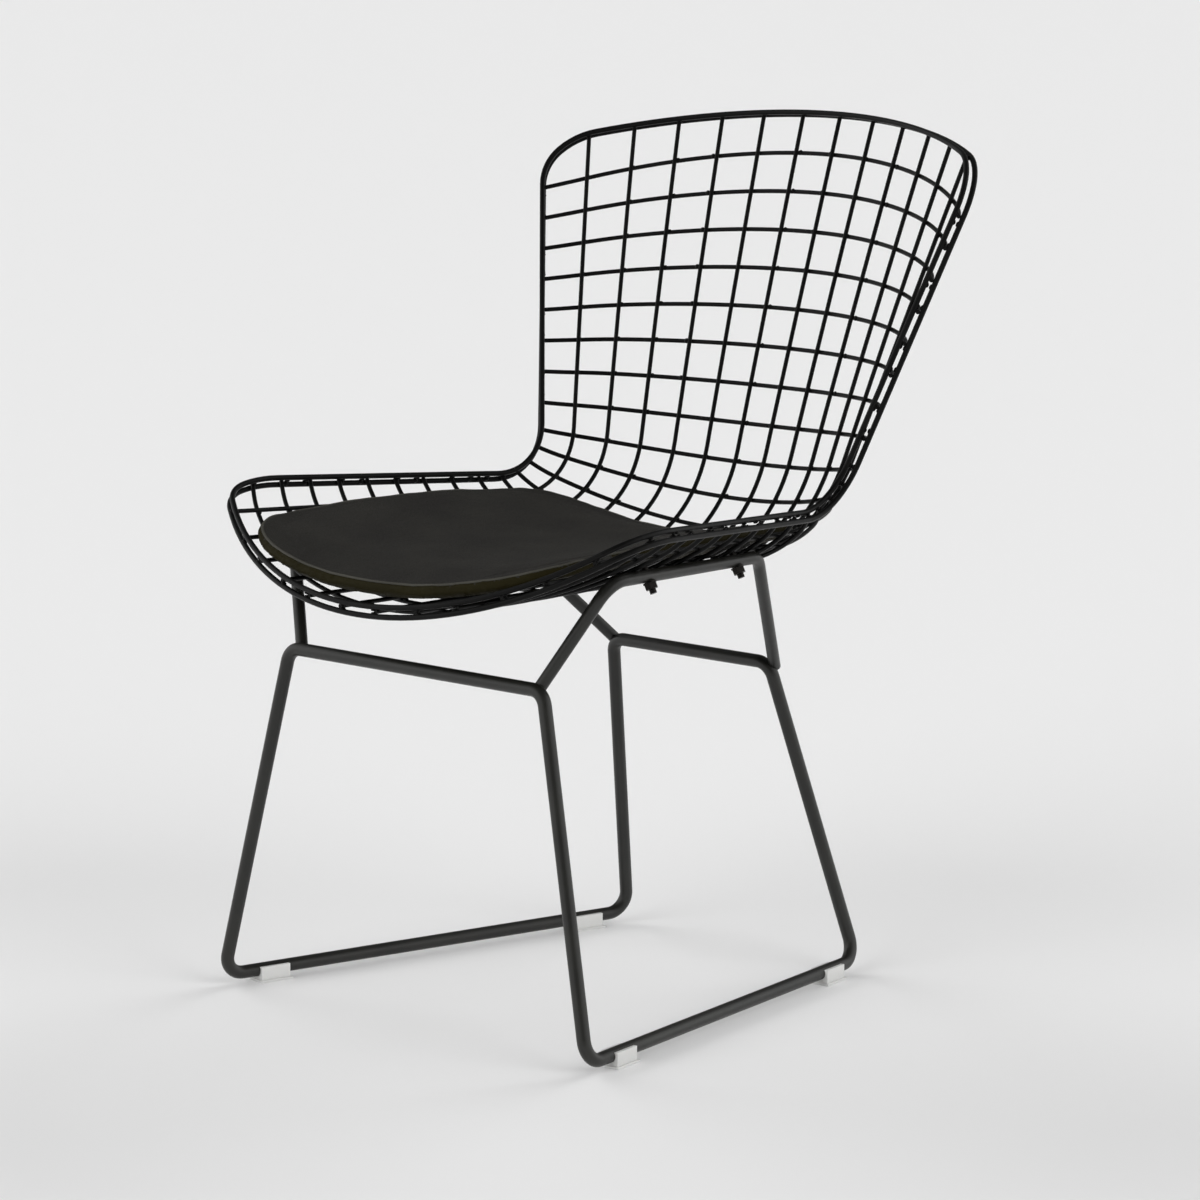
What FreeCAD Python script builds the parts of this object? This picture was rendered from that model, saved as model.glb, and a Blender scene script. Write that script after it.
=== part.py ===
import FreeCAD, Part
import math
import os
from FreeCAD import Placement, Rotation, Vector

# Wire side chair: a welded wire basket on a bent rod base, with a thin pad on the seat.
# Frame: +Z up from the floor, -Y the front edge, +X the sitter's left; origin under the middle of the chair.

doc = FreeCAD.newDocument("wire_side_chair")
sheet = doc.addObject("Spreadsheet::Sheet", "Sizes")

# Driving dimensions, in millimetres unless the name says otherwise
SIZES = {
    # wire and rod stock
    "wire_diameter": 4,
    "rim_diameter": 5,
    "base_diameter": 12,
    "support_diameter": 11,
    "weld_set": 0.3,
    # top edge of the back, an arc through its middle and its two corners
    "top_height": 771.5,
    "top_setback": 329,
    "top_half_width": 267,
    "top_sweep": 98,
    "top_droop": 34.5,
    # line where the back would meet the seat if the bend were sharp
    "fold_height": 374.5,
    "fold_setback": 206,
    "fold_half_width": 180.5,
    "fold_sweep": 67,
    "fold_lift": 60.5,
    # front edge of the seat
    "front_height": 375.5,
    "front_reach": 267,
    "front_half_width": 255,
    "front_sweep": 81,
    "front_lift": 77.5,
    # bend between back and seat, at the middle and at the sides
    "bend_radius_middle": 128,
    "bend_radius_side": 59,
    # wire counts, and rows given as spacings counted from the top edge
    "long_wire_count": 12,
    "cross_wire_count": 22,
    "back_rows": 8.7,
    "bend_rows": 4.65,
    "seat_rows": 9.5,
    "row_sag": 0.44,
    # rounded corners of the rim: share of the half width, and rows
    "top_corner_share": 0.18,
    "top_corner_rows": 1.3,
    "front_corner_share": 0.12,
    "front_corner_rows": 1.7,
    # base rods
    "front_foot_half": 227.5,
    "front_foot_reach": 222.5,
    "rear_foot_half": 144,
    "rear_foot_setback": 218.5,
    "front_knee_half": 157,
    "front_knee_reach": 201.5,
    "front_knee_height": 316,
    "rear_knee_half": 97,
    "rear_knee_setback": 150,
    "rear_knee_height": 289,
    "knee_radius": 16,
    "foot_radius": 18,
    # supports: seat bars by share of the half width and rows, and the arms' feet beside the knees
    "bar_share": 0.745,
    "bar_front_row": 21.05,
    "bar_rear_row": 14.55,
    "bar_radius": 24,
    "front_arm_inset": 9,
    "front_arm_setback": 4,
    "rear_arm_outset": 4,
    "rear_arm_setback": 6,
    # clamps that hold the basket on the seat bars
    "front_clamp_row": 19.5,
    "rear_clamp_row": 15.6,
    "plate_width": 16,
    "plate_length": 40,
    "plate_thickness": 3.4,
    "plate_seating": 0.3,
    "bolt_diameter": 6,
    "bolt_play": 0.4,
    "bolt_head_diameter": 11,
    "bolt_head_height": 2.5,
    "bolt_end": 4,
    "washer_diameter": 12,
    "washer_thickness": 1.2,
    "nut_flats": 10,
    "nut_height": 5,
    # clip glides on the runners
    "glide_length": 30,
    "glide_wall": 2.6,
    "glide_sole": 4.5,
    "glide_grip": 3.5,
    "glide_lip": 2,
    "glide_lip_height": 2,
    "glide_play": 0.1,
    "glide_offset": 50,
    # seat pad: plan outline inside the rim with rounded ends, rise over the dish, thickness
    "pad_front_gap": 12,
    "pad_length": 398,
    "pad_front_margin": 64,
    "pad_rear_margin": 26.5,
    "pad_side_bow": 18,
    "pad_front_depth": 78,
    "pad_front_power": 2.7,
    "pad_rear_depth": 54,
    "pad_rear_power": 3.2,
    "pad_bridge": 9,
    "pad_thickness": 22,
    "pad_edge_thickness": 12,
    "pad_crown_run": 70,
    "pad_draw_in": 4,
    "pad_clearance": 0.4,
    "cover_thickness": 1.5,
}
for line, (alias, value) in enumerate(SIZES.items(), start=1):
    sheet.set(f"A{line}", alias)
    sheet.set(f"B{line}", str(value))
    sheet.setAlias(f"B{line}", alias)
doc.recompute()


def size(alias):
    return float(sheet.get(alias))


wire_radius = size("wire_diameter") / 2
rim_radius = size("rim_diameter") / 2
cross_drop = size("wire_diameter") - size("weld_set")
rim_offset = wire_radius + rim_radius - size("weld_set")
bend_start_row = size("back_rows")
bend_end_row = bend_start_row + size("bend_rows")
last_row = bend_end_row + size("seat_rows")
subparts = []

# The chair's middle, half way between the front edge and the back of the top edge
back_tilt = math.atan2(size("top_setback") - size("fold_setback"), size("top_height") - size("fold_height"))
rear_limit = size("top_setback") + rim_offset * math.cos(back_tilt) + rim_radius
front_limit = -size("front_reach") - rim_radius
middle_setback = (rear_limit + front_limit) / 2


# Basket surface: every long wire is a straight back, a bend and a straight seat
def edge_arc(half_width, setback, height, sweep, lift):
    """An arc across the chair; share runs from -1 to 1 between its ends."""
    rise = math.hypot(sweep, lift)
    half_angle = 2 * math.atan(rise / half_width)

    def at(share):
        bow = (1 - math.cos(half_angle * share)) / (1 - math.cos(half_angle))
        across = half_width * math.sin(half_angle * share) / math.sin(half_angle)
        return Vector(across, setback - middle_setback + sweep * bow, height + lift * bow)
    return at


top_edge = edge_arc(size("top_half_width"), size("top_setback"), size("top_height"),
                    -size("top_sweep"), -size("top_droop"))
fold_line = edge_arc(size("fold_half_width"), size("fold_setback"), size("fold_height"),
                     -size("fold_sweep"), size("fold_lift"))
front_edge = edge_arc(size("front_half_width"), -size("front_reach"), size("front_height"),
                      size("front_sweep"), size("front_lift"))


def unit(vector):
    return vector / vector.Length


# Small step, in shares or rows, for directions on the surface
STEP = 0.004


class Corner:
    """A round corner at a point between two straight runs."""

    def __init__(self, before, point, after, radius):
        back = unit(before - point)
        ahead = unit(after - point)
        half = math.acos(back.dot(ahead)) / 2
        inward = unit(back + ahead)
        self.radius = radius
        self.turn = math.pi - 2 * half
        self.start = point + back * (radius / math.tan(half))
        self.end = point + ahead * (radius / math.tan(half))
        self.centre = point + inward * (radius / math.sin(half))
        self.middle = self.centre - inward * radius
        self.first = unit(self.start - self.centre)
        self.second = -back

    def at(self, share):
        angle = self.turn * share
        return self.centre + (self.first * math.cos(angle) + self.second * math.sin(angle)) * self.radius


def bend_at(share):
    radius = size("bend_radius_middle")
    radius += (size("bend_radius_side") - radius) * share * share
    return Corner(top_edge(share), fold_line(share), front_edge(share), radius)


def surface(share, row):
    """The point of the basket at a share of its half width and a row counted from the top edge."""
    bend = bend_at(share)
    if row <= bend_start_row:
        start = top_edge(share)
        return start + (bend.start - start) * (row / bend_start_row)
    if row <= bend_end_row:
        return bend.at((row - bend_start_row) / size("bend_rows"))
    return bend.end + (front_edge(share) - bend.end) * ((row - bend_end_row) / size("seat_rows"))


def sitter_side(share, row):
    """The direction square to the basket, towards the sitter."""
    across = surface(share + STEP, row) - surface(share - STEP, row)
    along = surface(share, row + STEP) - surface(share, row - STEP)
    return unit(along.cross(across))


def raised(share, row, height):
    return surface(share, row) + sitter_side(share, row) * height


# Paths of straight runs and tangent arcs; a turn below the least one is taken as straight
LEAST_TURN = 1e-4


def line(start, end):
    return Part.LineSegment(start, end).toShape()


def tangent_arc(start, heading, end):
    """The arc that leaves start along heading and reaches end."""
    chord = end - start
    sideways = heading - unit(chord) * heading.dot(unit(chord))
    if sideways.Length < LEAST_TURN:
        return line(start, end)
    half_turn = math.asin(min(1.0, sideways.Length)) / 2
    middle = (start + end) / 2 + unit(sideways) * (chord.Length / 2 * math.tan(half_turn))
    return Part.Arc(start, middle, end).toShape()


def two_arcs(start, heading, end, arrival):
    """A pair of arcs from start to end that keeps both directions."""
    span = end - start
    both = heading + arrival
    straightness = 2 * (heading.dot(arrival) - 1)
    pull = -2 * span.dot(both)
    if abs(straightness) < 1e-9:
        reach = span.dot(span) / -pull
    else:
        root = math.sqrt(pull * pull - 4 * straightness * span.dot(span))
        reach = (-pull - root) / (2 * straightness)
    leave = start + heading * reach
    meet = end - arrival * reach
    joint = (leave + meet) / 2
    return [tangent_arc(start, heading, joint), tangent_arc(joint, unit(meet - leave), end)]


def smooth_path(stops):
    """Arcs through a list of points with directions."""
    edges = []
    for (start, heading), (end, arrival) in zip(stops, stops[1:]):
        edges += two_arcs(start, heading, end, arrival)
    return edges


def rounded_path(points, radii):
    """Straight runs through points, with a round corner at each inner one."""
    corners = [Corner(a, b, c, r) for a, b, c, r in zip(points, points[1:], points[2:], radii)]
    edges = []
    place = points[0]
    for corner in corners:
        edges.append(line(place, corner.start))
        edges.append(Part.Arc(corner.start, corner.middle, corner.end).toShape())
        place = corner.end
    edges.append(line(place, points[-1]))
    return edges, corners


def rod(label, edges, diameter):
    """A round rod swept along a path; diameter names its cell."""
    path = doc.addObject("Part::Feature", label + "_path")
    path.Shape = Part.Wire(edges)
    profile = doc.addObject("Part::Circle", label + "_section")
    profile.setExpression("Radius", f"Sizes.{diameter} / 2")
    first = path.Shape.Edges[0]
    heading = first.tangentAt(first.FirstParameter)
    profile.Placement = Placement(first.valueAt(first.FirstParameter), Rotation(Vector(0, 0, 1), heading))
    sweep = doc.addObject("Part::Sweep", label)
    sweep.Sections = [profile]
    sweep.Spine = (path, [f"Edge{n}" for n in range(1, len(edges) + 1)])
    sweep.Solid = True
    sweep.Frenet = False
    return sweep


def keep(feature, label):
    feature.Label = label
    subparts.append(feature)
    return feature


# Long wires: top edge to front edge, evenly spread across
long_count = int(size("long_wire_count"))
long_shares = [(2 * n + 1 - long_count) / (long_count + 1) for n in range(long_count)]
for number, share in enumerate(long_shares, start=1):
    bend = bend_at(share)
    edges = [line(top_edge(share), bend.start),
             Part.Arc(bend.start, bend.middle, bend.end).toShape(),
             line(bend.end, front_edge(share))]
    label = f"long_wire_{number:02d}"
    keep(rod(label, edges, "wire_diameter"), label)

# Cross wires: behind the long wires, with their ends brought up between the rim rods
outer_share = long_shares[-1]
inner_share = outer_share / 2
side_front = last_row - size("front_corner_rows")


def rim_share(row):
    """The share where the rim stands at a row; it is less than one round the front corners."""
    past = max(0, row - side_front) / size("front_corner_rows")
    return 1 - size("front_corner_share") * (1 - math.sqrt(1 - past * past))


def settled_row(share, row):
    """Back rows sag towards the sides, most near the top."""
    if row >= bend_start_row:
        return row
    return row + size("row_sag") * share * share * (1 - row / bend_start_row)


def cross_point(share, row):
    return raised(share, settled_row(share, row), -cross_drop)


def cross_stop(share, row):
    ahead = cross_point(share + STEP, row) - cross_point(share - STEP, row)
    return cross_point(share, row), unit(ahead)


for row in range(1, int(size("cross_wire_count")) + 1):
    stops = [cross_stop(share, row) for share in (-outer_share, -inner_share, 0, inner_share, outer_share)]
    end_row = settled_row(1, row)
    right_end = surface(rim_share(row), end_row)
    left_end = surface(-rim_share(row), end_row)
    edges = [tangent_arc(stops[0][0], -stops[0][1], left_end)]
    edges += smooth_path(stops)
    edges.append(tangent_arc(stops[-1][0], stops[-1][1], right_end))
    label = f"cross_wire_{row:02d}"
    keep(rod(label, Part.__sortEdges__(edges), "wire_diameter"), label)

# Rim rods: one on each side of the wire ends, round all four edges
top_turn = 1 - size("top_corner_share")
front_turn = 1 - size("front_corner_share")
side_top = size("top_corner_rows")
bend_middle_row = (bend_start_row + bend_end_row) / 2
side_rows = [side_top, (side_top + bend_start_row) / 2, bend_start_row, bend_middle_row, bend_end_row,
             (bend_end_row + side_front) / 2, side_front]


def rim_stop(share, row, height, across, along):
    point = raised(share, row, height)
    before = raised(share - across * STEP, row - along * STEP, height)
    after = raised(share + across * STEP, row + along * STEP, height)
    return point, unit(after - before)


def half_rim(side, height):
    stops = [rim_stop(side * share, 0, height, side, 0) for share in (0, top_turn / 2, top_turn)]
    stops += [rim_stop(side, row, height, 0, 1) for row in side_rows]
    stops += [rim_stop(side * share, last_row, height, -side, 0) for share in (front_turn, front_turn / 2, 0)]
    return stops


def fuse(name, base, tool):
    result = doc.addObject("Part::Fuse", name)
    result.Base = base
    result.Tool = tool
    return result


for label, height in (("inner_rim", rim_offset), ("outer_rim", -rim_offset)):
    halves = [rod(f"{label}_{name}", smooth_path(half_rim(side, height)), "rim_diameter")
              for side, name in ((1, "left"), (-1, "right"))]
    keep(fuse(f"{label}_loop", *halves), label)

# Base rods: half stretcher, leg, runner, leg and half stretcher, bent from one rod on each side
runner_height = size("glide_sole") + size("base_diameter") / 2


def base_point(side, half, setback, height):
    return Vector(side * half, setback - middle_setback, height)


def base_points(side):
    front_knee = (-size("front_knee_reach"), size("front_knee_height"))
    rear_knee = (size("rear_knee_setback"), size("rear_knee_height"))
    return [base_point(side, 0, *front_knee),
            base_point(side, size("front_knee_half"), *front_knee),
            base_point(side, size("front_foot_half"), -size("front_foot_reach"), runner_height),
            base_point(side, size("rear_foot_half"), size("rear_foot_setback"), runner_height),
            base_point(side, size("rear_knee_half"), *rear_knee),
            base_point(side, 0, *rear_knee)]


base_radii = [size(alias) for alias in ("knee_radius", "foot_radius", "foot_radius", "knee_radius")]
bar_drop = cross_drop + wire_radius + size("support_diameter") / 2 - size("weld_set") / 2
bar_bottom = -bar_drop - size("support_diameter") / 2
BOLT_HOLE = "(Sizes.bolt_diameter + Sizes.bolt_play) / 2"


def clamp_place(side, row):
    """A place on the basket with Z towards the sitter and Y along the seat bar."""
    share = side * size("bar_share")
    upward = sitter_side(share, row)
    along = unit(surface(share, row - STEP) - surface(share, row))
    return Placement(surface(share, row), Rotation(along.cross(upward), along, upward, "ZYX"))


def shifted(place, x=0, y=0, z=0):
    return place.multiply(Placement(Vector(x, y, z), Rotation()))


def piece(kind, name, place, **expressions):
    """A primitive whose sizes follow the sheet."""
    solid = doc.addObject(kind, name)
    for prop, expression in expressions.items():
        solid.setExpression(prop, expression)
    solid.Placement = place
    return solid


def cut(name, base, tool):
    result = doc.addObject("Part::Cut", name)
    result.Base = base
    result.Tool = tool
    return result


def group(label, members):
    compound = doc.addObject("Part::Compound", label)
    compound.Links = members
    return keep(compound, label)


# Support rods: front arm, seat bar and rear arm, cut to the base rod at both knees and drilled for the bolts
for side, name in ((1, "left"), (-1, "right")):
    edges, corners = rounded_path(base_points(side), base_radii)
    base = keep(rod(f"base_rod_{name}", edges, "base_diameter"), f"base_rod_{name}")
    share = side * size("bar_share")
    front_foot = Vector(-side * size("front_arm_inset"), size("front_arm_setback"), 0)
    rear_foot = Vector(side * size("rear_arm_outset"), size("rear_arm_setback"), 0)
    arm_points = [corners[0].middle + front_foot,
                  raised(share, size("bar_front_row"), -bar_drop),
                  raised(share, size("bar_rear_row"), -bar_drop),
                  corners[3].middle + rear_foot]
    arm_edges = rounded_path(arm_points, [size("bar_radius")] * 2)[0]
    support = rod(f"support_bar_{name}", arm_edges, "support_diameter")
    support = cut(f"support_coped_{name}", support, base)
    for row in ("front_clamp_row", "rear_clamp_row"):
        drill_place = shifted(clamp_place(side, size(row)), z=2 * bar_bottom)
        drill = piece("Part::Cylinder", f"{row}_drill_{name}", drill_place, Radius=BOLT_HOLE,
                      Height=f"{-2 * bar_bottom}")
        support = cut(f"support_{row}_{name}", support, drill)
    keep(support, f"support_rod_{name}")

# Clamps: a plate on two cross wires, a flat-headed bolt through the seat bar, a washer and a nut below it
plate_bottom = wire_radius - cross_drop + size("plate_seating")
plate_top = plate_bottom + size("plate_thickness")
head_bottom = plate_top - size("bolt_head_height")
nut_top = bar_bottom - size("washer_thickness")
nut_bottom = nut_top - size("nut_height")
bolt_tip = nut_bottom - size("bolt_end")
clamps = [clamp_place(side, size(row)) for side in (1, -1) for row in ("front_clamp_row", "rear_clamp_row")]
plates = []
bolts = []
washers = []
nuts = []
for number, place in enumerate(clamps, start=1):
    corner = shifted(place, -size("plate_width") / 2, -size("plate_length") / 2, plate_bottom)
    plate = piece("Part::Box", f"plate_{number}", corner, Length="Sizes.plate_width",
                  Width="Sizes.plate_length", Height="Sizes.plate_thickness")
    hole = piece("Part::Cylinder", f"plate_hole_{number}", shifted(place, z=plate_bottom), Radius=BOLT_HOLE,
                 Height="Sizes.plate_thickness")
    sink = piece("Part::Cone", f"plate_sink_{number}", shifted(place, z=head_bottom), Radius1=BOLT_HOLE,
                 Radius2="(Sizes.bolt_head_diameter + Sizes.bolt_play) / 2", Height="Sizes.bolt_head_height")
    plates.append(cut(f"plate_sunk_{number}", cut(f"plate_holed_{number}", plate, hole), sink))

    head = piece("Part::Cone", f"bolt_head_{number}", shifted(place, z=head_bottom),
                 Radius1="Sizes.bolt_diameter / 2", Radius2="Sizes.bolt_head_diameter / 2",
                 Height="Sizes.bolt_head_height")
    shank = piece("Part::Cylinder", f"bolt_shank_{number}", shifted(place, z=bolt_tip),
                  Radius="Sizes.bolt_diameter / 2", Height=f"{head_bottom - bolt_tip}")
    bolts.append(fuse(f"bolt_{number}", head, shank))

    disc = piece("Part::Cylinder", f"washer_disc_{number}", shifted(place, z=nut_top),
                 Radius="Sizes.washer_diameter / 2", Height="Sizes.washer_thickness")
    bore = piece("Part::Cylinder", f"washer_bore_{number}", shifted(place, z=nut_top), Radius=BOLT_HOLE,
                 Height="Sizes.washer_thickness")
    washers.append(cut(f"washer_{number}", disc, bore))

    block = piece("Part::Prism", f"nut_block_{number}", shifted(place, z=nut_bottom),
                  Circumradius="Sizes.nut_flats / sqrt(3)", Height="Sizes.nut_height")
    thread = piece("Part::Cylinder", f"nut_thread_{number}", shifted(place, z=nut_bottom),
                   Radius="Sizes.bolt_diameter / 2", Height="Sizes.nut_height")
    nuts.append(cut(f"nut_{number}", block, thread))
group("clamp_plates", plates)
group("clamp_bolts", bolts)
group("clamp_washers", washers)
group("clamp_nuts", nuts)

# Clip glides: a saddle that grips the runner from below, with a wider flat sole on the floor
half_glide = size("glide_length") / 2
half_clip = size("base_diameter") / 2 + size("glide_wall")
lip = size("glide_lip")
for side, side_name in ((1, "left"), (-1, "right")):
    front_foot, rear_foot = base_points(side)[2:4]
    for end, foot, other in (("front", front_foot, rear_foot), ("rear", rear_foot, front_foot)):
        name = f"glide_{end}_{side_name}"
        along = unit(other - foot)
        turn = Rotation(along, Vector(0, 0, 1).cross(along), Vector(0, 0, 1), "ZXY")
        place = Placement(foot + along * size("glide_offset"), turn)
        lying = shifted(place, -half_glide).multiply(Placement(Vector(), Rotation(Vector(0, 1, 0), 90)))
        clip = piece("Part::Box", name + "_clip", shifted(place, -half_glide, -half_clip, -runner_height),
                     Length="Sizes.glide_length", Width="Sizes.base_diameter + 2 * Sizes.glide_wall",
                     Height="Sizes.glide_sole + Sizes.base_diameter / 2 + Sizes.glide_grip")
        sole = piece("Part::Box", name + "_sole",
                     shifted(place, -half_glide - lip, -half_clip - lip, -runner_height),
                     Length="Sizes.glide_length + 2 * Sizes.glide_lip",
                     Width="Sizes.base_diameter + 2 * Sizes.glide_wall + 2 * Sizes.glide_lip",
                     Height="Sizes.glide_lip_height")
        bore = piece("Part::Cylinder", name + "_bore", lying,
                     Radius="Sizes.base_diameter / 2 + Sizes.glide_play", Height="Sizes.glide_length")
        keep(cut(name + "_open", fuse(name + "_body", clip, sole), bore), name)

# Seat pad: sections across the chair that rest on the basket at the sides and bridge its dish between them
END_STEPS = 6
SIDE_STEPS = 5


def end_stations(depth, power):
    """Distance from an end and share of the full width, step by step round an end that is a superellipse."""
    stations = []
    for n in range(END_STEPS + 1):
        angle = math.pi / 2 * max(n, 0.5) / END_STEPS
        stations.append((depth * (1 - math.cos(angle) ** (2 / power)), math.sin(angle) ** (2 / power)))
    return stations


def pad_stations(inset):
    """Setback, half width and half width before the ends round off, for each section from front to rear."""
    front = front_edge(0).y + size("pad_front_gap") + inset
    rear = front + size("pad_length") - 2 * inset
    front_half = size("front_half_width") - size("pad_front_margin") - inset
    rear_half = size("fold_half_width") - size("pad_rear_margin") - inset

    def half_width(setback):
        run = (setback - front) / (rear - front)
        return front_half + (rear_half - front_half) * run + size("pad_side_bow") * 4 * run * (1 - run)

    front_end = [(front + d, w) for d, w in end_stations(size("pad_front_depth"), size("pad_front_power"))]
    rear_end = [(rear - d, w) for d, w in end_stations(size("pad_rear_depth"), size("pad_rear_power"))]
    gap = rear_end[-1][0] - front_end[-1][0]
    sides = [(front_end[-1][0] + gap * n / SIDE_STEPS, 1) for n in range(1, SIDE_STEPS)]
    return [(setback, share * half_width(setback), half_width(setback))
            for setback, share in front_end + sides + rear_end[::-1]]


def halving(low, high, too_low):
    """The value between low and high where too_low turns false."""
    for _ in range(40):
        middle = (low + high) / 2
        if too_low(middle):
            low = middle
        else:
            high = middle
    return (low + high) / 2


def seat_height(across, setback):
    """The height of the wires' upper side at a place in plan."""
    def row_at(share):
        return halving(bend_start_row, 2 * last_row, lambda row: surface(share, row).y > setback)

    share = halving(0, 1, lambda trial: surface(trial, row_at(trial)).x < across)
    row = row_at(share)
    return surface(share, row).z + wire_radius / sitter_side(share, row).z


def pad_section(name, setback, edge, full_edge, thickness, inset):
    """A closed outline across the pad: a dished underside, drawn-in sides and a crowned top."""
    side_height = size("pad_edge_thickness") - 2 * inset
    draw_in = size("pad_draw_in") * side_height / size("pad_edge_thickness")
    seam = edge - draw_in
    seam_share = seam / (full_edge - draw_in)
    lift = size("pad_clearance") + inset
    low_middle = seat_height(0, setback) + size("pad_bridge") + lift
    low_edge = seat_height(seam, setback) + size("pad_bridge") * (1 - seam_share * seam_share) + lift
    high_edge = low_edge + side_height
    crown = low_middle + thickness - 2 * inset
    waist = (low_edge + high_edge) / 2
    left_low, right_low = Vector(-seam, setback, low_edge), Vector(seam, setback, low_edge)
    left_high, right_high = Vector(-seam, setback, high_edge), Vector(seam, setback, high_edge)
    outline = doc.addObject("Part::Feature", name)
    outline.Shape = Part.Wire([
        Part.Arc(left_low, Vector(0, setback, low_middle), right_low).toShape(),
        Part.Arc(right_low, Vector(edge, setback, waist), right_high).toShape(),
        Part.Arc(right_high, Vector(0, setback, crown), left_high).toShape(),
        Part.Arc(left_high, Vector(-edge, setback, waist), left_low).toShape()])
    return outline


def pad_loft(name, inset):
    """The pad's form, taken in by an inset all round; the crown rises from the edge thickness at both ends."""
    stations = pad_stations(inset)
    sections = []
    for number, (setback, edge, full_edge) in enumerate(stations, start=1):
        from_end = min(setback - stations[0][0], stations[-1][0] - setback)
        rise = math.sin(math.pi / 2 * min(1, from_end / size("pad_crown_run")))
        thickness = size("pad_edge_thickness") + (size("pad_thickness") - size("pad_edge_thickness")) * rise
        sections.append(pad_section(f"{name}_section_{number}", setback, edge, full_edge, thickness, inset))
    loft = doc.addObject("Part::Loft", name)
    loft.Sections = sections
    loft.Solid = True
    loft.Ruled = False
    return loft


foam = keep(pad_loft("foam", size("cover_thickness")), "pad_foam")
keep(cut("cover_hollow", pad_loft("cover", 0), foam), "pad_cover")

doc.recompute()

# Every object must have built before anything is written
for feature in doc.Objects:
    if "Invalid" in feature.State or "Error" in feature.State:
        raise RuntimeError(f"{feature.Name} failed: {feature.State}")
os.makedirs("parts", exist_ok=True)
for feature in subparts:
    if feature.Shape.isNull() or not feature.Shape.isValid():
        raise RuntimeError(f"{feature.Label} has no valid shape")
    if not feature.Shape.Solids:
        raise RuntimeError(f"{feature.Label} is not solid")
for feature in subparts:
    feature.Shape.exportStep(f"parts/{feature.Label}.step")
print(len(subparts), "sub-parts written")
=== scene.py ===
import math

import bmesh
import bpy
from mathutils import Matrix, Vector
from mathutils.bvhtree import BVHTree
from mathutils.geometry import convex_hull_2d
from mathutils.kdtree import KDTree


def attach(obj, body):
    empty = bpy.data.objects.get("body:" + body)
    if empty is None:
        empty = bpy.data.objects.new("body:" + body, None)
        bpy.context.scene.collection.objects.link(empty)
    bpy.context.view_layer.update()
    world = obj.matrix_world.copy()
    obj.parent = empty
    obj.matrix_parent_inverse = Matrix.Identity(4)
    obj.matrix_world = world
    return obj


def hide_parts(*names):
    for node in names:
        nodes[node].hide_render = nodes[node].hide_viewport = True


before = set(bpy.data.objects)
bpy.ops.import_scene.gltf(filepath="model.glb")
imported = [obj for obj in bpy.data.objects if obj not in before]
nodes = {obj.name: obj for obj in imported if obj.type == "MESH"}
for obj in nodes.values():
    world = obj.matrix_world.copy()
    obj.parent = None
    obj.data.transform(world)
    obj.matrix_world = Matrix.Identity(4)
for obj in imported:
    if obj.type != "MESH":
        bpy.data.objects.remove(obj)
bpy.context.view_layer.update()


# Wires, rims and rods: mild steel wire and rod, bent to shape and welded into a basket and a base.
# Each was powder coated whole. The coat is thick and near black, and softens every edge;
# melted powder leaves a faint orange peel and slightly smoother patches.
MM = 0.001
PEEL_SIZE = 1.2 * MM          # width of one orange-peel swelling
PEEL_DEPTH = 0.06 * MM
PATCH_SIZE = 38 * MM          # patches where the coat melted a little smoother
SCUFF_SIZE = 6 * MM           # handling marks that dull the satin
# The basket's copy of the coat is the same finish as the base's with a darker colour: painted shade.
BASKET_SHADED_DEEP = "060606"
BASKET_SHADED_LIFTED = "0D0D0C"
BASKET_SHINE = 0.12
BASE_DEEP = "171715"
BASE_LIFTED = "1F1F1C"
BASE_SHINE = 0.45
COAT_SMOOTH = 0.3             # roughness where the coat is clean
COAT_SCUFFED = 0.44           # roughness where it is scuffed


def colour(hex_code):
    """An sRGB hex colour as linear RGBA."""
    values = []
    for start in (0, 2, 4):
        channel = int(hex_code[start:start + 2], 16) / 255
        values.append(channel / 12.92 if channel <= 0.04045 else ((channel + 0.055) / 1.055) ** 2.4)
    return (*values, 1)


def add(tree, kind, inputs=None, links=None, **settings):
    """A node with its settings, its input values, and links given as input: (node, output)."""
    node = tree.nodes.new(kind)
    for name, value in settings.items():
        setattr(node, name, value)
    for name, value in (inputs or {}).items():
        node.inputs[name].default_value = value
    for name, (source, output) in (links or {}).items():
        tree.links.new(source.outputs[output], node.inputs[name])
    return node


def new_material(name):
    """A material with an empty node tree, and that tree."""
    material = bpy.data.materials.new(name)
    material.use_nodes = True
    material.node_tree.nodes.clear()
    return material, material.node_tree


def set_stops(ramp, *stops):
    """Gives a colour ramp its stops, each a position and a hex colour."""
    for element, (position, hex_code) in zip(ramp.color_ramp.elements, stops):
        element.position = position
        element.color = colour(hex_code)


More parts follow.
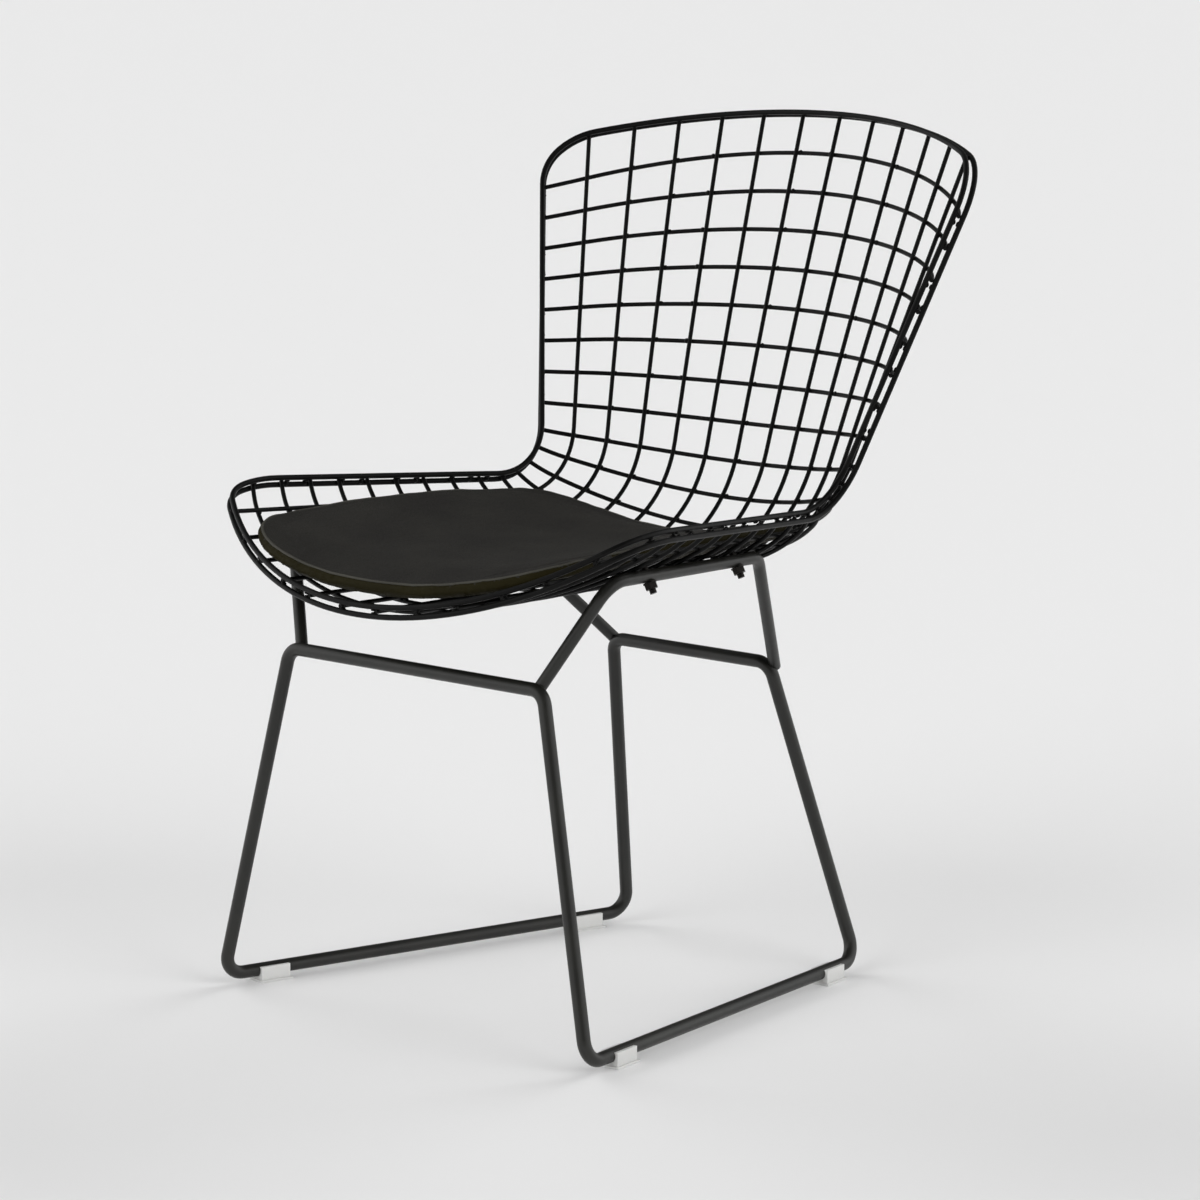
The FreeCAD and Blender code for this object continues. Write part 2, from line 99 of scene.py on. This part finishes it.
def black_powder_coat(name, deep, lifted, shine):
    """Baked polyester powder: soft broad highlights, broken slightly by orange peel."""
    material, tree = new_material(name)
    place = add(tree, "ShaderNodeTexCoord")
    patches = add(tree, "ShaderNodeTexNoise", {"Scale": 1 / PATCH_SIZE, "Detail": 3},
                  {"Vector": (place, "Object")})
    scuffs = add(tree, "ShaderNodeTexNoise", {"Scale": 1 / SCUFF_SIZE, "Detail": 6, "Roughness": 0.7},
                 {"Vector": (place, "Object")})
    peel = add(tree, "ShaderNodeTexNoise", {"Scale": 1 / PEEL_SIZE, "Detail": 1, "Roughness": 0.4},
               {"Vector": (place, "Object")})
    tone = add(tree, "ShaderNodeValToRGB", links={"Fac": (patches, "Fac")})
    set_stops(tone, (0.35, deep), (0.7, lifted))
    gloss = add(tree, "ShaderNodeMapRange",
                {"From Min": 0.3, "From Max": 0.75, "To Min": COAT_SMOOTH, "To Max": COAT_SCUFFED},
                {"Value": (scuffs, "Fac")})
    bump = add(tree, "ShaderNodeBump", {"Strength": 0.3, "Distance": PEEL_DEPTH}, {"Height": (peel, "Fac")})
    shader = add(tree, "ShaderNodeBsdfPrincipled", {"IOR": 1.5, "Specular IOR Level": shine},
                 {"Base Color": (tone, "Color"), "Roughness": (gloss, "Result"),
                  "Normal": (bump, "Normal")})
    add(tree, "ShaderNodeOutputMaterial", links={"Surface": (shader, "BSDF")})
    return material


def dress(material, *prefixes):
    """Gives the CAD nodes whose names start with a prefix this material."""
    for name, node in nodes.items():
        if name.startswith(prefixes):
            node.data.materials.clear()
            node.data.materials.append(material)


# The basket gets a darker copy of the one coat than the base: painted shade on the wires and rims.
shaded_basket_coat = black_powder_coat("shaded_matt_black_powder_coat", BASKET_SHADED_DEEP, BASKET_SHADED_LIFTED, BASKET_SHINE)
base_coat = black_powder_coat("satin_black_powder_coat", BASE_DEEP, BASE_LIFTED, BASE_SHINE)
dress(shaded_basket_coat, "long_wire", "cross_wire", "inner_rim", "outer_rim")
dress(base_coat, "base_rod", "support_rod", "clamp_plates")


# Weld collars: where wire is pressed on wire, the current melts a small collar of steel out of the joint.
# Each sits where two welded solids bite into each other, and was coated with the frame.
COLLAR_RADIUS = 2.6 * MM
COLLAR_HALF_HEIGHT = 1.4 * MM
COLLAR_SEGMENTS = 8
COLLAR_RINGS = 5
SPOT_APART = 12 * MM          # bites nearer than this belong to one weld


def surface_tree(mesh):
    """A tree for finding places on a mesh."""
    return BVHTree.FromPolygons([vertex.co for vertex in mesh.vertices],
                                [face.vertices for face in mesh.polygons])


def weld_spots(first_prefix, *second_prefixes):
    """Middle and direction of each bite between nodes; the first nodes are the finer meshes."""
    seconds = [surface_tree(nodes[name].data) for name in sorted(nodes) if name.startswith(second_prefixes)]
    spots = []
    for mesh in [nodes[name].data for name in sorted(nodes) if name.startswith(first_prefix)]:
        tree = surface_tree(mesh)
        for other in seconds:
            bites = []
            for index in sorted({pair[0] for pair in tree.overlap(other)}):
                face = mesh.polygons[index]
                near = [bite for bite in bites if (bite[0] / bite[2] - face.center).length < SPOT_APART]
                if near:
                    near[0][0] += face.center
                    near[0][1] += face.normal
                    near[0][2] += 1
                else:
                    bites.append([face.center.copy(), face.normal.copy(), 1])
            spots += [(total / count, facing.normalized()) for total, facing, count in bites]
    return spots


def new_object(name, data):
    """An object in the scene for a mesh, a lamp or a camera."""
    piece = bpy.data.objects.new(name, data)
    bpy.context.scene.collection.objects.link(piece)
    return piece


def new_node_group(name, **sizes):
    """A Geometry Nodes group with a geometry input and output and one named input for each size."""
    tree = bpy.data.node_groups.new(name, "GeometryNodeTree")
    tree.interface.new_socket("Geometry", in_out="OUTPUT", socket_type="NodeSocketGeometry")
    tree.interface.new_socket("Geometry", in_out="INPUT", socket_type="NodeSocketGeometry")
    for size_name, value in sizes.items():
        socket = tree.interface.new_socket(size_name, in_out="INPUT", socket_type="NodeSocketFloat")
        socket.default_value = value
    return tree, add(tree, "NodeGroupInput")


def finish_group(tree, geometry, material):
    """Ends a group in Realize Instances and Set Material."""
    real = add(tree, "GeometryNodeRealizeInstances", links={"Geometry": geometry})
    smooth = add(tree, "GeometryNodeSetShadeSmooth", links={"Geometry": (real, "Geometry")})
    finished = add(tree, "GeometryNodeSetMaterial", {"Material": material},
                   {"Geometry": (smooth, "Geometry")})
    add(tree, "NodeGroupOutput", links={"Geometry": (finished, "Geometry")})


def plain_mesh(piece):
    """Turns what a piece's modifiers make into its own mesh, and removes them."""
    evaluated = piece.evaluated_get(bpy.context.evaluated_depsgraph_get())
    mesh = bpy.data.meshes.new_from_object(evaluated)
    piece.modifiers.clear()
    piece.data = mesh


def grow(piece, tree, material, **sizes):
    """Runs a Geometry Nodes group on a piece with its sizes, and keeps a plain mesh with one material."""
    modifier = piece.modifiers.new(tree.name, "NODES")
    modifier.node_group = tree
    for item in tree.interface.items_tree:
        if item.in_out == "INPUT" and item.name in sizes:
            modifier[item.identifier] = sizes[item.name]
    plain_mesh(piece)
    piece.data.materials.clear()
    piece.data.materials.append(material)


welds = weld_spots("cross_wire", "long_wire", "support_rod")
welds += weld_spots("inner_rim", "long_wire", "cross_wire")
welds += weld_spots("outer_rim", "long_wire", "cross_wire")
weld_mesh = bpy.data.meshes.new("weld_collars")
weld_mesh.from_pydata([middle for middle, _ in welds], [], [])
facing = weld_mesh.attributes.new("facing", "FLOAT_VECTOR", "POINT")
facing.data.foreach_set("vector", [value for _, direction in welds for value in direction])
weld_collars = new_object("weld_collars", weld_mesh)

collar_tree, collar_in = new_node_group("weld_collar", radius=COLLAR_RADIUS, half_height=COLLAR_HALF_HEIGHT)
collar_ball = add(collar_tree, "GeometryNodeMeshUVSphere",
                  {"Segments": COLLAR_SEGMENTS, "Rings": COLLAR_RINGS}, {"Radius": (collar_in, "radius")})
collar_flat = add(collar_tree, "ShaderNodeMath",
                  links={0: (collar_in, "half_height"), 1: (collar_in, "radius")}, operation="DIVIDE")
collar_scale = add(collar_tree, "ShaderNodeCombineXYZ", {"X": 1, "Y": 1}, {"Z": (collar_flat, "Value")})
collar_facing = add(collar_tree, "GeometryNodeInputNamedAttribute", {"Name": "facing"},
                    data_type="FLOAT_VECTOR")
collar_turn = add(collar_tree, "FunctionNodeAlignRotationToVector",
                  links={"Vector": (collar_facing, "Attribute")}, axis="Z")
collar_points = add(collar_tree, "GeometryNodeInstanceOnPoints",
                    links={"Points": (collar_in, "Geometry"), "Instance": (collar_ball, "Mesh"),
                           "Rotation": (collar_turn, "Rotation"), "Scale": (collar_scale, "Vector")})
finish_group(collar_tree, (collar_points, "Instances"), shaded_basket_coat)
grow(weld_collars, collar_tree, shaded_basket_coat, radius=COLLAR_RADIUS, half_height=COLLAR_HALF_HEIGHT)
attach(weld_collars, "root")


# Clamp fasteners: bolts, washers and nuts of small steel hardware with a black oxide finish.
# They are darker and oilier than the coat, with a slight brown cast where handling wore the oxide.
OXIDE_GRAIN = 0.6 * MM
OXIDE_DARK = "2A2A2A"
OXIDE_WORN = "453E38"


def black_oxide_steel():
    """Chemically blackened steel: a dim metallic gleam over a fine dark grain."""
    material, tree = new_material("black_oxide_steel")
    place = add(tree, "ShaderNodeTexCoord")
    grain = add(tree, "ShaderNodeTexNoise", {"Scale": 1 / OXIDE_GRAIN, "Detail": 4},
                {"Vector": (place, "Object")})
    tone = add(tree, "ShaderNodeValToRGB", links={"Fac": (grain, "Fac")})
    set_stops(tone, (0.45, OXIDE_DARK), (0.75, OXIDE_WORN))
    gloss = add(tree, "ShaderNodeMapRange", {"To Min": 0.3, "To Max": 0.5}, {"Value": (grain, "Fac")})
    shader = add(tree, "ShaderNodeBsdfPrincipled", {"Metallic": 1},
                 {"Base Color": (tone, "Color"), "Roughness": (gloss, "Result")})
    add(tree, "ShaderNodeOutputMaterial", links={"Surface": (shader, "BSDF")})
    return material


dress(black_oxide_steel(), "clamp_bolts", "clamp_washers", "clamp_nuts")


# Glides: injection-moulded polyethylene saddles that snap over the runners and rest on the floor.
# The plastic is milky and lets light through, with a fine matt texture from the mould.
SPARK_GRAIN = 0.5 * MM
GLIDE_MILK = "E8E8E6"


def milky_polyethylene():
    """Unfilled polyethylene: waxy, milky and half clear, so it picks up the dark rod inside."""
    material, tree = new_material("milky_polyethylene")
    place = add(tree, "ShaderNodeTexCoord")
    grain = add(tree, "ShaderNodeTexNoise", {"Scale": 1 / SPARK_GRAIN, "Detail": 2},
                {"Vector": (place, "Object")})
    gloss = add(tree, "ShaderNodeMapRange", {"To Min": 0.25, "To Max": 0.42}, {"Value": (grain, "Fac")})
    bump = add(tree, "ShaderNodeBump", {"Strength": 0.2, "Distance": 0.03 * MM}, {"Height": (grain, "Fac")})
    shader = add(tree, "ShaderNodeBsdfPrincipled",
                 {"Base Color": colour(GLIDE_MILK), "IOR": 1.51, "Transmission Weight": 0.25,
                  "Subsurface Weight": 0.5, "Subsurface Radius": (1, 1, 1), "Subsurface Scale": 3 * MM},
                 {"Roughness": (gloss, "Result"), "Normal": (bump, "Normal")})
    add(tree, "ShaderNodeOutputMaterial", links={"Surface": (shader, "BSDF")})
    return material


dress(milky_polyethylene(), "glide")


# Seat pad: a thin slab of firm foam in a cover sewn from black leatherette, laid on the seat wires.
# A top panel and a boxing strip meet in a piped seam along the upper edge. The foam presses the
# cover out into a low crown, and the seam pulls it in again all round.
COVER = 1.5 * MM              # thickness of the cover over the foam
MERGE_GAP = 0.01 * MM         # points nearer than this are one
PAD_VOXEL = 4.5 * MM
PAD_PRESSURE = 4
PAD_STEPS = 20
SETTLE_SHARE = 0.5            # how far each smoothing pass evens out the cover
SETTLE_PASSES = 4
MOST_MOVE = 4 * MM            # most that the pressure may move a point of the cover, outward only
TOP_SWELL = 2.5 * MM          # most that the crown may rise above the foam's own form
CROWN_RUN = 45 * MM           # how far in from the seam it reaches that rise
SEAM_INSET = 2.2 * MM
SEAM_SPACING = 3 * MM
SEAM_PASSES = 3
SEAM_WIDTH = 5 * MM
SEAM_DEPTH = 0.8 * MM
GRAIN_SIZE = 1.5 * MM         # pebbles of the embossed grain, a little coarse so that they show
GRAIN_DEPTH = 0.12 * MM
SHEEN_PATCH = 60 * MM         # patches rubbed a little lighter in use
PAD_TOP = "201F1D"
PAD_TOP_WORN = "272623"
PAD_TOP_SHINE = 0.25
# The boxing strip and underside use the top's leatherette, painted darker and warmer: painted shade on the
# pad's side.
PAD_SHADED_BOXING = "1C190A"
PAD_SHADED_BOXING_WORN = "211E0E"
PAD_BOXING_SHINE = 0.08


def pebbled_leatherette(name, fresh, worn, shine):
    """Polyurethane on cloth, embossed with a pebble grain: dull, with a faint broken sheen."""
    material, tree = new_material(name)
    place = add(tree, "ShaderNodeTexCoord")
    wander = add(tree, "ShaderNodeTexNoise", {"Scale": 1 / (4 * GRAIN_SIZE), "Detail": 2},
                 {"Vector": (place, "Object")})
    bent = add(tree, "ShaderNodeVectorMath", {"Scale": GRAIN_SIZE}, {0: (wander, "Color")},
               operation="SCALE")
    moved = add(tree, "ShaderNodeVectorMath", links={0: (place, "Object"), 1: (bent, "Vector")},
                operation="ADD")
    pebbles = add(tree, "ShaderNodeTexVoronoi", {"Scale": 1 / GRAIN_SIZE}, {"Vector": (moved, "Vector")},
                  feature="DISTANCE_TO_EDGE")
    patches = add(tree, "ShaderNodeTexNoise", {"Scale": 1 / SHEEN_PATCH, "Detail": 4},
                  {"Vector": (place, "Object")})
    tone = add(tree, "ShaderNodeValToRGB", links={"Fac": (patches, "Fac")})
    set_stops(tone, (0.35, fresh), (0.7, worn))
    rounded = add(tree, "ShaderNodeMapRange", {"From Max": 0.25}, {"Value": (pebbles, "Distance")},
                  interpolation_type="SMOOTHSTEP")
    gloss = add(tree, "ShaderNodeMapRange", {"To Min": 0.72, "To Max": 0.52},
                {"Value": (rounded, "Result")})
    bump = add(tree, "ShaderNodeBump", {"Strength": 0.35, "Distance": GRAIN_DEPTH},
               {"Height": (rounded, "Result")})
    shader = add(tree, "ShaderNodeBsdfPrincipled", {"IOR": 1.45, "Specular IOR Level": shine},
                 {"Base Color": (tone, "Color"), "Roughness": (gloss, "Result"),
                  "Normal": (bump, "Normal")})
    add(tree, "ShaderNodeOutputMaterial", links={"Surface": (shader, "BSDF")})
    return material


def evenly_spaced(corners, spacing):
    """Points at equal distances round a closed outline."""
    runs = [(b - a).length for a, b in zip(corners, corners[1:] + corners[:1])]
    count = round(sum(runs) / spacing)
    points = []
    index, passed = 0, 0
    for n in range(count):
        along = sum(runs) * n / count
        while passed + runs[index] < along:
            passed += runs[index]
            index += 1
        start, end = corners[index], corners[(index + 1) % len(corners)]
        points.append(start.lerp(end, (along - passed) / runs[index]))
    return points


def neighbours(points):
    """Each point of a closed line with the one before it and the one after it."""
    return zip(points[-1:] + points[:-1], points, points[1:] + points[:1])


def ease(share):
    """A smooth step from 0 to 1."""
    share = min(max(share, 0), 1)
    return share * share * (3 - 2 * share)


# The foam's form as an even net, swollen by pressure as a sewn cover is
foam_mesh = nodes["pad_foam"].data.copy()
foam_form = bmesh.new()
foam_form.from_mesh(foam_mesh)
bmesh.ops.remove_doubles(foam_form, verts=foam_form.verts, dist=MERGE_GAP)
foam_form.to_mesh(foam_mesh)
foam_form.free()
seat_pad = new_object("seat_pad", foam_mesh)
net = seat_pad.modifiers.new("net", "REMESH")
net.mode = "VOXEL"
net.voxel_size = PAD_VOXEL
plain_mesh(seat_pad)
starts = [(vertex.co.copy(), vertex.normal.copy()) for vertex in seat_pad.data.vertices]
cloth = seat_pad.modifiers.new("cover", "CLOTH")
cloth.settings.use_pressure = True
cloth.settings.uniform_pressure_force = PAD_PRESSURE
cloth.settings.effector_weights.gravity = 0
for step in range(1, PAD_STEPS + 1):
    bpy.context.scene.frame_set(step)
plain_mesh(seat_pad)
bpy.context.scene.frame_set(1)
for vertex, (start, out) in zip(seat_pad.data.vertices, starts):
    vertex.co = start + out * min(max((vertex.co - start).dot(out), 0), MOST_MOVE)
settled = seat_pad.modifiers.new("settled", "SMOOTH")
settled.factor = SETTLE_SHARE
settled.iterations = SETTLE_PASSES
finer = seat_pad.modifiers.new("finer", "SUBSURF")
finer.levels = finer.render_levels = 1
plain_mesh(seat_pad)

# The seam's line in plan, a little inside the pad's outline
plan = [vertex.co.xy for vertex in nodes["pad_foam"].data.vertices]
outline = evenly_spaced([plan[index] for index in convex_hull_2d(plan)], SEAM_SPACING)
for _ in range(SEAM_PASSES):
    outline = [(before + here * 2 + after) / 4 for before, here, after in neighbours(outline)]
middle = sum(outline, Vector((0, 0))) / len(outline)
inwards = []
for before, here, after in neighbours(outline):
    side = (after - before).normalized().orthogonal()
    inwards.append(side if side.dot(middle - here) > 0 else -side)
seam_plan = [(here + inward * SEAM_INSET).to_3d() for here, inward in zip(outline, inwards)]
seam_tree = KDTree(len(seam_plan))
for index, point in enumerate(seam_plan):
    seam_tree.insert(point, index)
seam_tree.balance()

# The cover keeps the foam's form: it may rise in a crown, and is drawn in along the seam.
# Points outside the seam or under the pad belong to the boxing strip, which is painted darker and warmer
# than the top as painted shade
foam_tree = surface_tree(nodes["pad_foam"].data)
in_shaded_boxing = []
for vertex in seat_pad.data.vertices:
    place, out, _, _ = foam_tree.find_nearest(vertex.co)
    away = vertex.co - place
    rise = away.dot(out)
    if rise > 0:
        out = away.normalized()
    near, index, reach = seam_tree.find((vertex.co.x, vertex.co.y, 0))
    top_panel = out.z > 0 and (vertex.co - near).xy.dot(inwards[index]) > 0
    swell = TOP_SWELL * ease(reach / CROWN_RUN) if top_panel else 0
    sink = SEAM_DEPTH * ease(1 - reach / SEAM_WIDTH) if out.z > 0 else 0
    vertex.co = place + out * (min(max(rise, COVER), COVER + swell) - sink)
    in_shaded_boxing.append(not top_panel)
seat_pad.data.shade_smooth()
seat_pad.data.materials.clear()
top_leatherette = pebbled_leatherette("pebbled_leatherette", PAD_TOP, PAD_TOP_WORN, PAD_TOP_SHINE)
# The boxing strip gets a darker, warmer copy of the top's leatherette: painted shade.
shaded_boxing_leatherette = pebbled_leatherette("shaded_boxing_leatherette", PAD_SHADED_BOXING, PAD_SHADED_BOXING_WORN,
                                         PAD_BOXING_SHINE)
seat_pad.data.materials.append(top_leatherette)
seat_pad.data.materials.append(shaded_boxing_leatherette)
for face in seat_pad.data.polygons:
    face.material_index = int(any(in_shaded_boxing[index] for index in face.vertices))
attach(seat_pad, "root")
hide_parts("pad_cover", "pad_foam")


# Pad piping: a thin cord wrapped in a strip of the same leatherette and sewn into the seam.
# Its leatherette is painted a little lighter than the top, a painted highlight that shows it as a thin
# light line.
PIPING_RADIUS = 1.2 * MM
PIPING_SIDES = 8
PIPING_PASSES = 4
PIPING_HIGHLIGHT = "3A3934"
PIPING_HIGHLIGHT_WORN = "44433D"
pad_tree = surface_tree(seat_pad.data)
down = Vector((0, 0, -1))
seam = [pad_tree.ray_cast(Vector((point.x, point.y, 1)), down)[0] for point in seam_plan]
for _ in range(PIPING_PASSES):
    seam = [(before + here * 2 + after) / 4 for before, here, after in neighbours(seam)]
piping_mesh = bpy.data.meshes.new("pad_piping")
piping_mesh.from_pydata(seam, [(index, (index + 1) % len(seam)) for index in range(len(seam))], [])
pad_piping = new_object("pad_piping", piping_mesh)
# The piping's leatherette is a lighter copy of the top's: painted highlight.
highlighted_piping_leatherette = pebbled_leatherette("highlighted_piping_leatherette", PIPING_HIGHLIGHT, PIPING_HIGHLIGHT_WORN, PAD_TOP_SHINE)
piping_tree, piping_in = new_node_group("pad_piping", radius=PIPING_RADIUS)
piping_path = add(piping_tree, "GeometryNodeMeshToCurve", links={"Mesh": (piping_in, "Geometry")})
piping_ring = add(piping_tree, "GeometryNodeCurvePrimitiveCircle", {"Resolution": PIPING_SIDES},
                  {"Radius": (piping_in, "radius")})
piping_cord = add(piping_tree, "GeometryNodeCurveToMesh",
                  links={"Curve": (piping_path, "Curve"), "Profile Curve": (piping_ring, "Curve")})
finish_group(piping_tree, (piping_cord, "Mesh"), highlighted_piping_leatherette)
grow(pad_piping, piping_tree, highlighted_piping_leatherette, radius=PIPING_RADIUS)
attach(pad_piping, "root")


# Stage: pale seamless paper in a dim studio with a bright wall on the left and one on the right.
# The room only shows in reflections. Low soft lights all round reach the paper under the seat and
# leave a soft shadow close to the feet, and a weak wide light from above fills in.
FLOOR_RADIUS = 60
FLOOR_SEGMENTS = 96
PAPER_FIBRE = 3 * MM
PAPER_MOTTLE = 0.1            # how far the fibre shifts the shading, in metres
PAPER_DEPTH = (-0.69, 0.72, 0)  # the way from front to back in the photograph
PAPER_FRONT = -0.9            # where the shading starts and ends that way, in metres
PAPER_BACK = 1.4
PAPER = "F2F2F2"
PAPER_SHADE = "EBEBEB"
ROOM_ACROSS = (0.71, 0.68, 0)   # the way from left to right in the photograph
ROOM_DIM = 0.12
ROOM_BRIGHT = 1.2
FILL_ENERGY = 0.8
FILL_SPREAD = 150             # width of a lamp's face, in degrees
FILL_AIM = (-0.35, 0.37, -0.86)
LOW_ENERGY = 1.52
LOW_SPREAD = 40
LOW_FALL = -0.4


def seamless_paper():
    """Matt background paper: an even pale grey, a little darker towards the front, barely mottled."""
    material, tree = new_material("seamless_paper")
    place = add(tree, "ShaderNodeTexCoord")
    fibre = add(tree, "ShaderNodeTexNoise", {"Scale": 1 / PAPER_FIBRE, "Detail": 3},
                {"Vector": (place, "Object")})
    depth = add(tree, "ShaderNodeVectorMath", {1: PAPER_DEPTH}, {0: (place, "Object")},
                operation="DOT_PRODUCT")
    mottled = add(tree, "ShaderNodeMath", {1: PAPER_MOTTLE}, {0: (fibre, "Fac"), 2: (depth, "Value")},
                  operation="MULTIPLY_ADD")
    light = add(tree, "ShaderNodeMapRange", {"From Min": PAPER_FRONT, "From Max": PAPER_BACK},
                {"Value": (mottled, "Value")}, interpolation_type="SMOOTHSTEP")
    tone = add(tree, "ShaderNodeValToRGB", links={"Fac": (light, "Result")})
    set_stops(tone, (0, PAPER_SHADE), (1, PAPER))
    shader = add(tree, "ShaderNodeBsdfPrincipled", {"Roughness": 0.9, "IOR": 1.3},
                 {"Base Color": (tone, "Color")})
    add(tree, "ShaderNodeOutputMaterial", links={"Surface": (shader, "BSDF")})
    return material


floor_form = bmesh.new()
bmesh.ops.create_circle(floor_form, cap_ends=True, segments=FLOOR_SEGMENTS, radius=FLOOR_RADIUS)
floor_mesh = bpy.data.meshes.new("floor")
floor_form.to_mesh(floor_mesh)
floor_form.free()
floor_mesh.materials.append(seamless_paper())
floor = new_object("floor", floor_mesh)

room = bpy.data.worlds.new("studio_room")
room.use_nodes = True
room_tree = room.node_tree
room_place = add(room_tree, "ShaderNodeTexCoord")
room_across = add(room_tree, "ShaderNodeVectorMath", {1: ROOM_ACROSS}, {0: (room_place, "Generated")},
                  operation="DOT_PRODUCT")
room_side = add(room_tree, "ShaderNodeMath", links={0: (room_across, "Value")}, operation="ABSOLUTE")
room_glow = add(room_tree, "ShaderNodeMapRange",
                {"From Min": 0.3, "From Max": 0.95, "To Min": ROOM_DIM, "To Max": ROOM_BRIGHT},
                {"Value": (room_side, "Value")}, interpolation_type="SMOOTHSTEP")
room_tree.links.new(room_glow.outputs["Result"], room_tree.nodes["Background"].inputs["Strength"])
room_tree.nodes["Background"].inputs["Color"].default_value = (1, 1, 1, 1)
bpy.context.scene.world = room
room.cycles_visibility.diffuse = False


def soft_sun(name, energy, spread, direction):
    """A lamp far away with a wide face, which shows in no reflection."""
    light = bpy.data.lights.new(name, "SUN")
    light.energy = energy
    light.angle = math.radians(spread)
    lamp = new_object(name, light)
    lamp.rotation_euler = Vector(direction).to_track_quat("-Z", "Y").to_euler()
    lamp.visible_glossy = False


soft_sun("wide_fill", FILL_ENERGY, FILL_SPREAD, FILL_AIM)
for number, (across, along) in enumerate(((1, 0), (0, 1), (-1, 0), (0, -1)), 1):
    soft_sun(f"low_light_{number}", LOW_ENERGY, LOW_SPREAD, (across, along, LOW_FALL))
bpy.context.scene.view_settings.view_transform = "Standard"


# Camera: the photograph's place, aim and lens, solved from the wire crossings and the feet.
# It stands to the front and right of the chair, a little above the back, and looks slightly down.
CAMERA_SENSOR = 36            # in millimetres, as is the lens
CAMERA_LENS = 138.95
CAMERA_PLACE = (2.83963, -2.96012, 1.00706)
CAMERA_AIM = (-0.6838, 0.7123, -0.1584)
camera_data = bpy.data.cameras.new("camera")
camera_data.sensor_width = CAMERA_SENSOR
camera_data.lens = CAMERA_LENS
camera = new_object("camera", camera_data)
camera.location = CAMERA_PLACE
camera.rotation_euler = Vector(CAMERA_AIM).to_track_quat("-Z", "Y").to_euler()
bpy.context.scene.camera = camera
